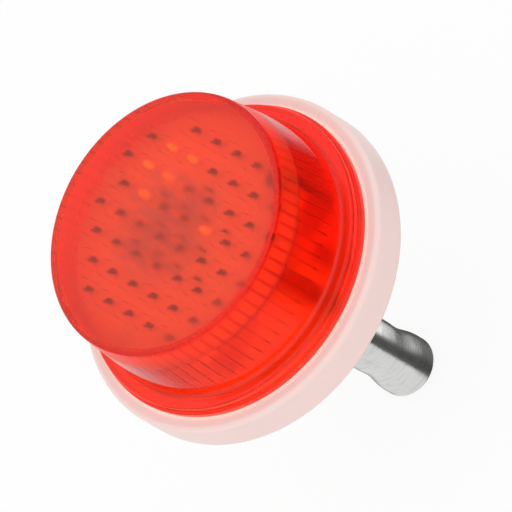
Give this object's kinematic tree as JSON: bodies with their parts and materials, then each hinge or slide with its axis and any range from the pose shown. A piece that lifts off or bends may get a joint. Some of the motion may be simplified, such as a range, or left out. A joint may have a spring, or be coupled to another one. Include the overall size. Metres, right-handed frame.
{
  "type": "led safety flare",
  "caption": "Round battery LED warning flare: red fluted drum lens on a pale round base, held by a turned metal stem with a waisted end.",
  "frame": {"origin": "centre of the stem's free end, which is the bottom centre of the bounding box", "axes": "+Z along the stem from its free end towards the lens face; +X from the axis towards the push button in the base's back; +Y completes a right-handed frame"},
  "size_m": [0.1, 0.1, 0.121],
  "materials": {
    "black_rubber": "moulded rubber",
    "board_laminate": "white solder mask on glass laminate",
    "brass_standoff": "plain brass",
    "button_red": "moulded rubber",
    "cell_jacket": "plain dark shrink film over the can",
    "chip_black": "moulded epoxy",
    "clear_silicone": "natural silicone",
    "led_epoxy": "clear red epoxy",
    "pad_foam": "white closed-cell foam",
    "pale_base": "milky translucent moulded plastic, satin",
    "red_lens": "clear red moulded plastic, polished outside",
    "stem_steel": "turned steel, bright zinc plate",
    "switch_black": "moulded plastic",
    "tinned_metal": "tin plated",
    "tray_plastic": "white moulded plastic, fine texture",
    "white_nylon": "natural nylon",
    "wire_black": "insulated wire",
    "zinc_hardware": "zinc plated steel"
  },
  "bodies": {
    "base": {"back_screws": "zinc_hardware", "backing_washer": "zinc_hardware", "base_housing": "pale_base", "battery_cell_1": "cell_jacket", "battery_cell_2": "cell_jacket", "battery_cell_3": "cell_jacket", "battery_cell_4": "cell_jacket", "battery_tray": "tray_plastic", "board_resistors": "chip_black", "board_screws": "white_nylon", "board_standoffs": "brass_standoff", "board_transistors": "chip_black", "cell_pad": "pad_foam", "driver_chip": "chip_black", "leaf_contacts": "tinned_metal", "led_board": "board_laminate", "led_lamps": "led_epoxy", "led_legs": "tinned_metal", "lens_gasket": "clear_silicone", "lock_washer": "zinc_hardware", "mount_stem": "stem_steel", "plate_contacts": "tinned_metal", "push_switch": "switch_black", "stem_nut": "zinc_hardware", "stem_seal": "black_rubber", "switch_board": "board_laminate", "switch_screws": "zinc_hardware", "wire_feed": "wire_black", "wire_switch": "wire_black", "wire_tray": "wire_black"},
    "lens": {"lens_cover": "red_lens"},
    "button": {"power_button": "button_red", "switch_plunger": "switch_black"}
  },
  "joints": [
    {"name": "lens_twist", "type": "hinge", "parent": "base", "child": "lens", "pos_m": [0, 0, 0.089], "axis": [0, 0, 1], "range_deg": [0, 20]},
    {"name": "button_press", "type": "slide", "parent": "base", "child": "button", "axis": [0, 0, 1], "range_m": [0, 0.001], "stiffness_N_per_m": 800, "springref_m": -0.0005}
  ]
}
